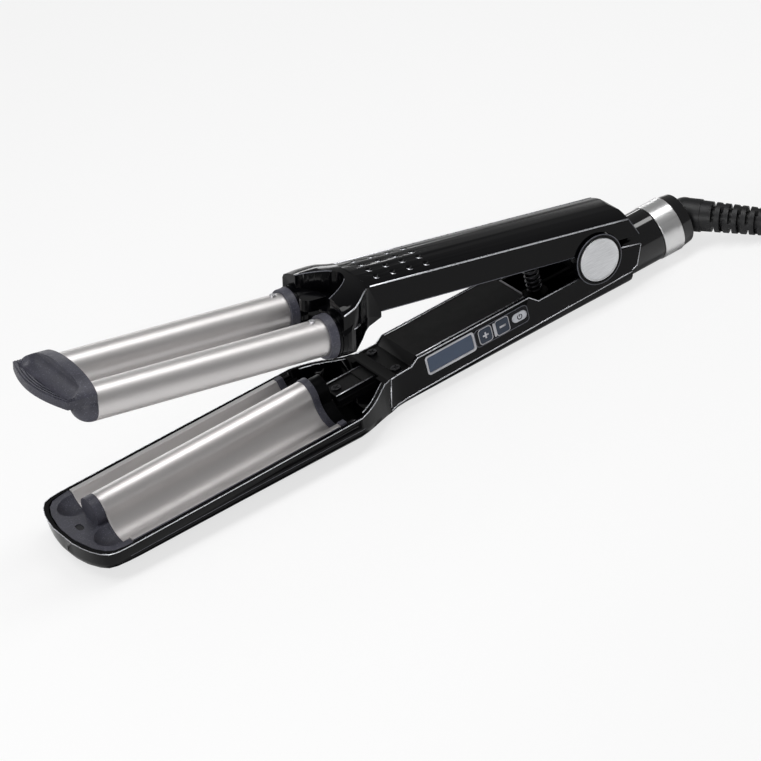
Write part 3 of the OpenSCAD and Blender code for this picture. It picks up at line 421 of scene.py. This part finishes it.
# A node's loose triangles are merged and their flat faces joined; then its sharp edges are rounded
def refine(name, width):
    mesh = nodes[name].data.copy()
    work = bmesh.new()
    work.from_mesh(mesh)
    bmesh.ops.remove_doubles(work, verts=work.verts, dist=edging["merge"])
    bmesh.ops.dissolve_limit(work, angle_limit=math.radians(edging["flat"]), verts=work.verts, edges=work.edges)
    work.to_mesh(mesh)
    work.free()
    mesh.shade_smooth()
    mesh.set_sharp_from_angle(angle=math.radians(edging["sharp"]))
    piece = bpy.data.objects.new(name + "Form", mesh)
    bpy.context.collection.objects.link(piece)
    addBevel(piece, width).harden_normals = True
    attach(piece, nodes[name]["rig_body"])
    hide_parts(name)


for name, width in rounding.items():
    refine(name, width)
for name, width in plugRounding.items():
    nodes[name].modifiers.new("weld", "WELD").merge_threshold = edging["merge"]
    addBevel(nodes[name], width)
print("hard pieces rounded")


# Outlines in millimetres, each row [distance along the arm, value]
outline = {
    "shellHalf": [[-316.3, 3.26], [-316, 10.15], [-315, 17.04], [-313.4, 23.93], [-311, 30.09], [-308, 34.08],
                  [-304.3, 35.71], [-298.3, 36.25], [-232.6, 36.25], [-160, 35.78], [-155, 33.79], [-150, 31.13],
                  [-145, 27.53], [-140, 23.36], [-136, 20.24], [-131, 18.25], [-125, 17.49], [-118, 17.3],
                  [27, 17.3]],
    "shellTop": [[-316.3, -4.5], [-160, -4.5], [-133, -3.4], [-131, -3.9], [-118, -3.9], [-113.5, -0.9],
                 [-44, -0.9], [-39, -5.5], [-12, -5.5], [6, -1.8], [14, -2.2], [27, -4.6]],
    "shellRidge": [[-316.3, -11.6], [-300, -10.5], [-168, -10.3], [-148, -13.5], [-136, -19.6], [27, -17.2]],
    "visorHalf": [[-160, 29.8], [-156, 29.2], [-152, 28], [-148, 25.6], [-145, 23], [-142, 20.18], [-139.5, 18.2],
                  [-137, 17.3]],
    "visorRidge": [[-160, 13.2], [-152, 15.4], [-145, 18.2], [-137, 19.19]],
    "visorCrown": [[-160, 20.2], [-137, 22.19]],
}
# The grip falls slowly to the rear from its front, and arches across its width
grip = {"front": -137.8, "ridge": 19.2, "fall": 0.0115, "arch": 3, "half": 17.3}
# The visor's seam leans forward as it rises from its foot; its open front is a parabola in plan
visor = {"seamFoot": (-130.7, 4), "seamLean": 7.1 / 14.7, "mouth": -162, "mouthDepth": 19, "mouthHalf": 18}
# Radius of each line, in millimetres
lineRadius = {"upperBright": 0.42, "upperDim": 0.3, "trayRim": 0.22, "lowerBright": 0.32, "lowerDim": 0.35,
              "bossRings": 0.3, "panelLine": 0.22, "keyOutlines": 0.24, "plusSign": 0.5, "minusSign": 0.6,
              "powerSign": 0.27}
boss = {"radius": 13.6, "side": 18.85, "points": 96}


def lookUp(name, x):
    table = np.array(outline[name])
    return np.interp(x, table[:, 0], table[:, 1])


# Height of the grip's top: ridge, less the fall, plus the arch times one less the square of y over half
def gripTop(x, y):
    return grip["ridge"] - (x - grip["front"]) * grip["fall"] + grip["arch"] * (1 - (y / grip["half"]) ** 2)


# Places along the shell's own stations, so that a line on it lies flat on every facet
def shellLine(low, high, inset, top, lift):
    x = np.array([low] + [p[0] for p in outline["shellHalf"] + outline["shellTop"] if low < p[0] < high] + [high])
    x = np.unique(x)
    return np.stack([x, lookUp("shellHalf", x) - inset, lookUp(top, x) + lift], -1)


# The same path on the other side of the arm
def mirrored(path):
    return np.asarray(path, float) * (1, -1, 1)


def bothSides(paths):
    return paths + [mirrored(p) for p in paths]


# Thin tubes sunk into an arm's edges, mostly as painted highlights; each of the paths is in that arm's own frame, in
# millimetres
def addLines(name, paths, body, finish, slotName="gloss_shell", **shape):
    place = upperPlace if body == "upper_arm" else lowerPlace
    points, faces = tubeMesh([place(path) for path in paths], lineRadius[name] * mm, **shape)
    addPiece(name, points, faces, body, finish)


# Painted highlights: bright lines on the grip's ridges and the visor's brow and ledge; dimmer painted highlights on
# the cheeks, foot, seam and mouth
def upperLines():
    ridge = [[x, -17.12, gripTop(x, grip["half"]) - 0.08] for x in (-137, -100, -60, -20, 8, 18.6)]
    visorX = np.linspace(-159.6, -139.5, 9)
    brow = np.stack([visorX, 0.15 - lookUp("visorHalf", visorX), lookUp("visorRidge", visorX) - 0.05], -1)
    ledge = [[-159.6, -29.4, 4.35], [-156, -28.8, 4.3], [-152, -27.7, 4.25], [-148, -25.3, 4.2]]
    addLines("upperBright", bothSides([ridge, brow, ledge]), "upper_arm", paintedHighlight)
    cheek = [[19.0, -17.1, 17.5], [26.0, -17.1, 7.5]]
    foot = [[-130.2, -17.15, 4.1], [-14.2, -17.15, 4.1]]
    seamY = np.linspace(-16.8, -11.5, 5)
    seamZ = gripTop(grip["front"], seamY)
    seamX = visor["seamFoot"][0] - visor["seamLean"] * (seamZ - visor["seamFoot"][1])
    seam = np.stack([seamX, seamY, seamZ - 0.15], -1)
    mouthY = np.linspace(-17.4, -6, 12)
    mouthX = visor["mouth"] + visor["mouthDepth"] * (1 - (mouthY / visor["mouthHalf"]) ** 2)
    rise = np.sqrt(1 - (mouthY / lookUp("visorHalf", mouthX)) ** 2)
    mouthZ = lookUp("visorRidge", mouthX) + (lookUp("visorCrown", mouthX) - lookUp("visorRidge", mouthX)) * rise
    mouth = np.stack([mouthX + 0.25, mouthY, mouthZ - 0.2], -1)
    addLines("upperDim", bothSides([cheek, foot, seam, mouth]), "upper_arm", paintedDimHighlight)


# Painted highlights: bright lines on the tray's rim, the walls, the deck and the cheeks; dimmer painted highlights
# under and inside the tray and around the bosses
def lowerLines():
    rim = shellLine(-316.3, -131.5, 0.12, "shellTop", -0.1)
    rimAll = np.vstack([mirrored(rim)[::-1], rim])
    rimAll[:, 0] = np.maximum(rimAll[:, 0], -316.1)  # just inside the nose
    addLines("trayRim", [rimAll], "lower_arm", paintedHighlight)
    wall = shellLine(-131, -13.6, 0.2, "shellTop", -0.12)
    deck = [[-113, 15.1, -0.62], [-45.4, 15.1, -0.62]]
    cheek = [[26.8, 17.1, -4.8], [21.8, 17.1, -15.4], [18.4, 17.1, -16.6]]
    seam = [[14.3, 17.1, -1.1], [26.6, 17.1, -4.5]]
    side = shellLine(-135.8, 18.2, 0.1, "shellRidge", 0.05)
    frontX = [-131.2, -133.4, -135.8]
    front = np.stack([frontX, lookUp("shellHalf", frontX) - 0.1, [-4.1, -10.5, -17.8]], -1)
    neckRim = shellLine(-157, -136.5, 3.35, "shellTop", -0.15)
    beam = [[-157.8, 7, -4.6], [-134.2, 7, -4.6]]
    addLines("lowerBright", bothSides([wall, deck, cheek, seam, side, front, neckRim, beam]), "lower_arm", paintedHighlight)
    ridge = shellLine(-298, -148, 1.5, "shellRidge", 0.1)
    inner = [[-293.5, 33.0, -4.35], [-172, 33.0, -4.35]]
    addLines("lowerDim", bothSides([ridge, inner]), "lower_arm", paintedDimHighlight)
    turn = np.radians(np.arange(boss["points"]) * 360 / boss["points"])
    ring = np.stack([boss["radius"] * np.cos(turn), boss["side"] + 0 * turn, boss["radius"] * np.sin(turn)], -1)
    addLines("bossRings", bothSides([ring]), "lower_arm", paintedDimHighlight, loop=True, axis=(0, 1, 0))


# The hollows' middles and radius, the part of each rim in degrees, and the line's radius at its ends and middle
crescents = {"columns": (-129.4, -119.6, -109.8, -100), "rows": (10.4, 2.6, -4.4, -11.3), "hollow": 1.75,
             "turn": (175, 305), "points": 12, "thin": 0.06, "thicker": 0.34, "sunk": 0.1, "sides": 6}


# Painted glints: bright crescents on the near rims of the grip's round hollows, thickest halfway along
def addCrescents():
    turn = np.radians(np.linspace(*crescents["turn"], crescents["points"]))
    paths = []
    for x in crescents["columns"]:
        for y in crescents["rows"]:
            px, py = x + crescents["hollow"] * np.cos(turn), y + crescents["hollow"] * np.sin(turn)
            paths.append(upperPlace(np.stack([px, py, gripTop(px, py) - crescents["sunk"]], -1)))
    swell = np.sin(np.linspace(0, np.pi, crescents["points"]))
    radius = crescents["thin"] + crescents["thicker"] * swell
    points, faces = tubeMesh(paths, radius * mm, crescents["sides"])
    addPiece("gripPaintedGlints", points, faces, "upper_arm", paintedHighlight)


upperLines()
lowerLines()
addCrescents()
print("edge lines laid")


# Rows of [radius, distance from the tool's middle plane] in millimetres
discs = {"profile": [[0, 17.55], [11.75, 17.55], [11.8, 17.7], [11.8, 19.2], [11.68, 19.42], [11.45, 19.5],
                     [11.2, 19.46], [10.95, 19.3], [10.7, 19.24], [9, 19.24], [6, 19.24], [3, 19.24], [0, 19.24]],
         "sides": 96, "sharp": 50}


# Brushed discs over the hinge pin, with a rounded rim
def addDiscs():
    points, faces = latheMesh(discs["profile"], discs["sides"])
    allPoints, allFaces = [], []
    for turned in (1, -1):
        # the lathe's axis is laid along Y, to each side
        placed = np.stack([points[:, 0], turned * points[:, 2], -turned * points[:, 1]], -1)
        allFaces += [[k + len(points) * (turned < 0) for k in face] for face in faces]
        allPoints.append(lowerPlace(placed))
    piece = addPiece("hingeDiscs", np.vstack(allPoints), allFaces, "lower_arm", finishes["disc_metal"])
    piece.data.set_sharp_from_angle(angle=math.radians(discs["sharp"]))
    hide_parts("hinge_discs")


# Millimetres above the floor, and the share of its height that the spring keeps when the jaw is closed
spring = {"x": -30.263, "radius": 3.9, "wire": 0.5, "low": 16.663, "high": 35, "turns": 7, "turnPoints": 36,
          "sides": 10, "foot": 16.16, "keep": 0.62}


# Round wire wound evenly about an upright axis
def addSpring():
    t = np.linspace(0, 1, spring["turnPoints"] * spring["turns"] + 1)
    angle = 2 * np.pi * spring["turns"] * t
    path = np.stack([spring["x"] + spring["radius"] * np.cos(angle), spring["radius"] * np.sin(angle),
                     spring["low"] + (spring["high"] - spring["low"]) * t], -1)
    points, faces = tubeMesh([path * mm], spring["wire"] * mm, spring["sides"])
    piece = addPiece("returnSpring", points, faces, "lower_arm", blackWire)
    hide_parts("return_spring")
    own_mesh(piece)


addDiscs()
addSpring()
print("discs and spring made")


# Rounded rectangle in the near wall's plane, around (x, z): quarter circles about its four corners' middles
def wallLoop(x, z, width, height, corner, y, count=6):
    turn = np.radians(np.linspace(0, 90, count))
    points = []
    for k, (sx, sz) in enumerate(((1, 1), (-1, 1), (-1, -1), (1, -1))):
        a = turn + k * np.pi / 2
        points += [[x + sx * (width / 2 - corner) + corner * math.cos(v), y,
                    z + sz * (height / 2 - corner) + corner * math.sin(v)] for v in a]
    return points


# Middles along the wall, [width, height, corner] of each outline, and how far out outlines and signs lie
controls = {"z": -8.3, "panelX": -63.1, "plusX": -73.2, "minusX": -62.6, "powerX": -51.9, "panel": (33, 9.8, 2.2),
            "plusKey": (7.9, 8.7, 1.8), "minusKey": (8.1, 8.7, 1.5), "outlineY": -17.42, "signY": -17.6,
            "powerY": -17.66, "plusArm": 1.75, "minusArm": 1.9, "ring": 1.35, "ringTurn": (120, 420),
            "ringPoints": 25, "bar": (0.1, 1.7)}


# Outlines around the panel and two keys, and the signs, which ride on their own keys; the panel's outline is a
# painted dim highlight
def addControls():
    z, out, sign = controls["z"], controls["outlineY"], controls["signY"]
    plus, minus, power = controls["plusX"], controls["minusX"], controls["powerX"]
    plusArm, minusArm = controls["plusArm"], controls["minusArm"]
    trim = finishes["light_trim"]
    wall = {"slotName": "light_trim", "axis": (0, 1, 0)}
    addLines("panelLine", [wallLoop(controls["panelX"], z, *controls["panel"], out)], "lower_arm", paintedDimHighlight,
             loop=True, flat=0.5, **wall)
    addLines("keyOutlines", [wallLoop(plus, z, *controls["plusKey"], out),
                             wallLoop(minus, z, *controls["minusKey"], out)], "lower_arm", trim,
             loop=True, flat=0.5, **wall)
    addLines("plusSign", [[[plus - plusArm, sign, z], [plus + plusArm, sign, z]],
                          [[plus, sign, z - plusArm], [plus, sign, z + plusArm]]], "plus_key", trim, flat=0.3, **wall)
    addLines("minusSign", [[[minus - minusArm, sign, z], [minus + minusArm, sign, z]]], "minus_key", trim, flat=0.3,
             **wall)
    turn = np.radians(np.linspace(*controls["ringTurn"], controls["ringPoints"]))
    ring = [[power + controls["ring"] * math.cos(a), controls["powerY"], z + controls["ring"] * math.sin(a)]
            for a in turn]
    bar = [[power, controls["powerY"], z + end] for end in controls["bar"]]
    addLines("powerSign", [ring, bar], "power_key", finishes["panel_black"], flat=0.4, **wall)


addControls()
print("controls marked")


# The floor's own glow, the world's light on the tool and as a backdrop, and each lamp's place, aim, size and power
stage = {"floorSize": 8, "floorGlow": 0.7, "fill": 0.25, "backdrop": 0.95,
         "lamps": {"overhead": ((-0.15, -0.02, 1.0), (-0.15, 0, 0), (1.4, 0.3), 8),
                   "back": ((-0.2, 2.2, 0.44), (-0.15, 0, 0.05), (2.8, 0.25), 11),
                   "left": ((-1.1, -0.9, 0.5), (-0.15, 0, 0.05), (0.5, 0.5), 6)}}


# A pale floor that the camera sees mostly as plain light, so that it fades into the backdrop
def addFloor():
    bpy.ops.mesh.primitive_plane_add(size=stage["floorSize"])
    floor = bpy.context.object
    floor.name = "floor"
    paint = Paint("floor", (0.9, 0.9, 0.9), Roughness=0.55)
    glow = paint.node("ShaderNodeEmission", {"Color": (1, 1, 1), "Strength": 1.0})
    seen = paint.node("ShaderNodeLightPath")
    cover = paint.node("ShaderNodeMixShader", [seen * stage["floorGlow"]])
    paint.tree.links.new(paint.shader.outputs[0], cover.socket.node.inputs[1])
    paint.tree.links.new(glow.socket, cover.socket.node.inputs[2])
    paint.tree.links.new(cover.socket, paint.tree.nodes["Material Output"].inputs[0])
    floor.data.materials.append(paint.material)


def addLight():
    world = bpy.data.worlds.new("studio")
    bpy.context.scene.world = world
    world.use_nodes = True
    light = world.node_tree.nodes["Background"]
    light.inputs[0].default_value = (1, 1, 1, 1)
    # nearly white to the camera, a weaker fill for everything else
    seen = world.node_tree.nodes.new("ShaderNodeLightPath")
    fill = world.node_tree.nodes.new("ShaderNodeMapRange")
    fill.inputs["To Min"].default_value, fill.inputs["To Max"].default_value = stage["fill"], stage["backdrop"]
    world.node_tree.links.new(seen.outputs[0], fill.inputs["Value"])
    world.node_tree.links.new(fill.outputs[0], light.inputs[1])
    bpy.context.scene.view_settings.view_transform = "Standard"
    for name, (place, aim, size, power) in stage["lamps"].items():
        data = bpy.data.lights.new(name, "AREA")
        data.shape, data.size, data.size_y, data.energy = "RECTANGLE", size[0], size[1], power
        lamp = bpy.data.objects.new(name, data)
        bpy.context.collection.objects.link(lamp)
        lamp.location = place
        lamp.rotation_euler = (Vector(aim) - Vector(place)).to_track_quat("-Z", "Y").to_euler()


addFloor()
addLight()
print("stage lit")
